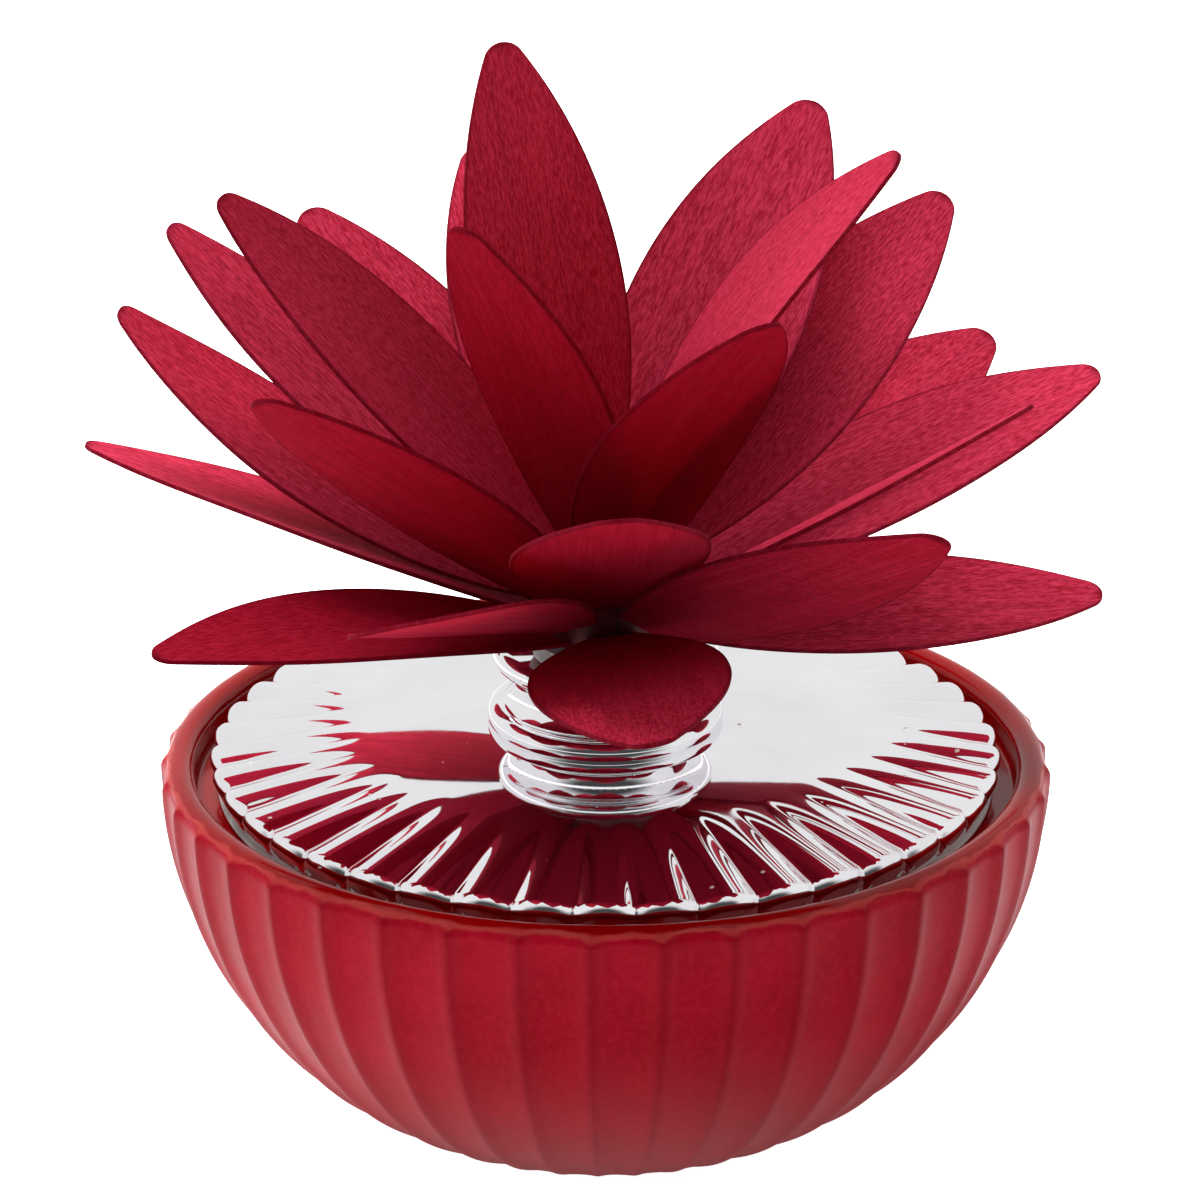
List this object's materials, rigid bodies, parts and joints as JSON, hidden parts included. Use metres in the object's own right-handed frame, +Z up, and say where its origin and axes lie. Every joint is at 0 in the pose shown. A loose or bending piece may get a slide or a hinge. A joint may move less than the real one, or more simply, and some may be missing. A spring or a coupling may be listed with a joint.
{
  "type": "flower fragrance diffuser",
  "caption": "Fluted ceramic oil bowl with a mirrored fluted lid and short neck, carrying a lotus-like flower of dyed wood-veneer petals on a cotton wick.",
  "frame": {"origin": "middle of the bowl's flat foot, on the surface it stands on", "axes": "+Z up along the bowl, neck and wick, -Y toward the front"},
  "size_m": [0.1261, 0.1366, 0.1373],
  "materials": {
    "crimson_glaze": "deep crimson gloss glaze that breaks lighter on the edges of the flutes",
    "silver_lustre": "mirror-bright silver plating",
    "gasket_silicone": "translucent satin",
    "stopper_plastic": "natural polyethylene",
    "dyed_wood": "dyed, matt",
    "cotton": "braided cotton cord",
    "wire_steel": "plain drawn wire",
    "dyed_veneer": "thin crimson-dyed veneer, satin, light through the back"
  },
  "bodies": {
    "bowl": {"bowl": "crimson_glaze"},
    "gasket": {"lid_gasket": "gasket_silicone"},
    "lid": {"lid": "silver_lustre"},
    "stopper": {"stopper": "stopper_plastic"},
    "flower": {"petal_hub": "dyed_wood", "wick": "cotton", "core_wire": "wire_steel", "petal_01": "dyed_veneer", "petal_02": "dyed_veneer", "petal_03": "dyed_veneer", "petal_04": "dyed_veneer", "petal_05": "dyed_veneer", "petal_06": "dyed_veneer", "petal_07": "dyed_veneer", "petal_08": "dyed_veneer", "petal_09": "dyed_veneer", "petal_10": "dyed_veneer", "petal_11": "dyed_veneer", "petal_12": "dyed_veneer", "petal_13": "dyed_veneer", "petal_14": "dyed_veneer", "petal_15": "dyed_veneer", "petal_16": "dyed_veneer", "petal_17": "dyed_veneer", "petal_18": "dyed_veneer", "petal_19": "dyed_veneer", "petal_20": "dyed_veneer", "petal_21": "dyed_veneer", "petal_22": "dyed_veneer", "petal_23": "dyed_veneer", "petal_24": "dyed_veneer", "petal_25": "dyed_veneer", "petal_26": "dyed_veneer"}
  },
  "joints": [
    {"name": "lid_lift", "type": "slide", "parent": "bowl", "child": "gasket", "axis": [0, 0, 1], "range_m": [0, 0.07]},
    {"name": "lid_turn", "type": "hinge", "parent": "gasket", "child": "lid", "pos_m": [0, 0, 0.05], "axis": [0, 0, 1], "continuous": true},
    {"name": "flower_lift", "type": "slide", "parent": "lid", "child": "stopper", "axis": [0, 0, 1], "range_m": [0, 0.06]},
    {"name": "flower_turn", "type": "hinge", "parent": "stopper", "child": "flower", "pos_m": [0, 0, 0.064], "axis": [0, 0, 1], "continuous": true}
  ]
}
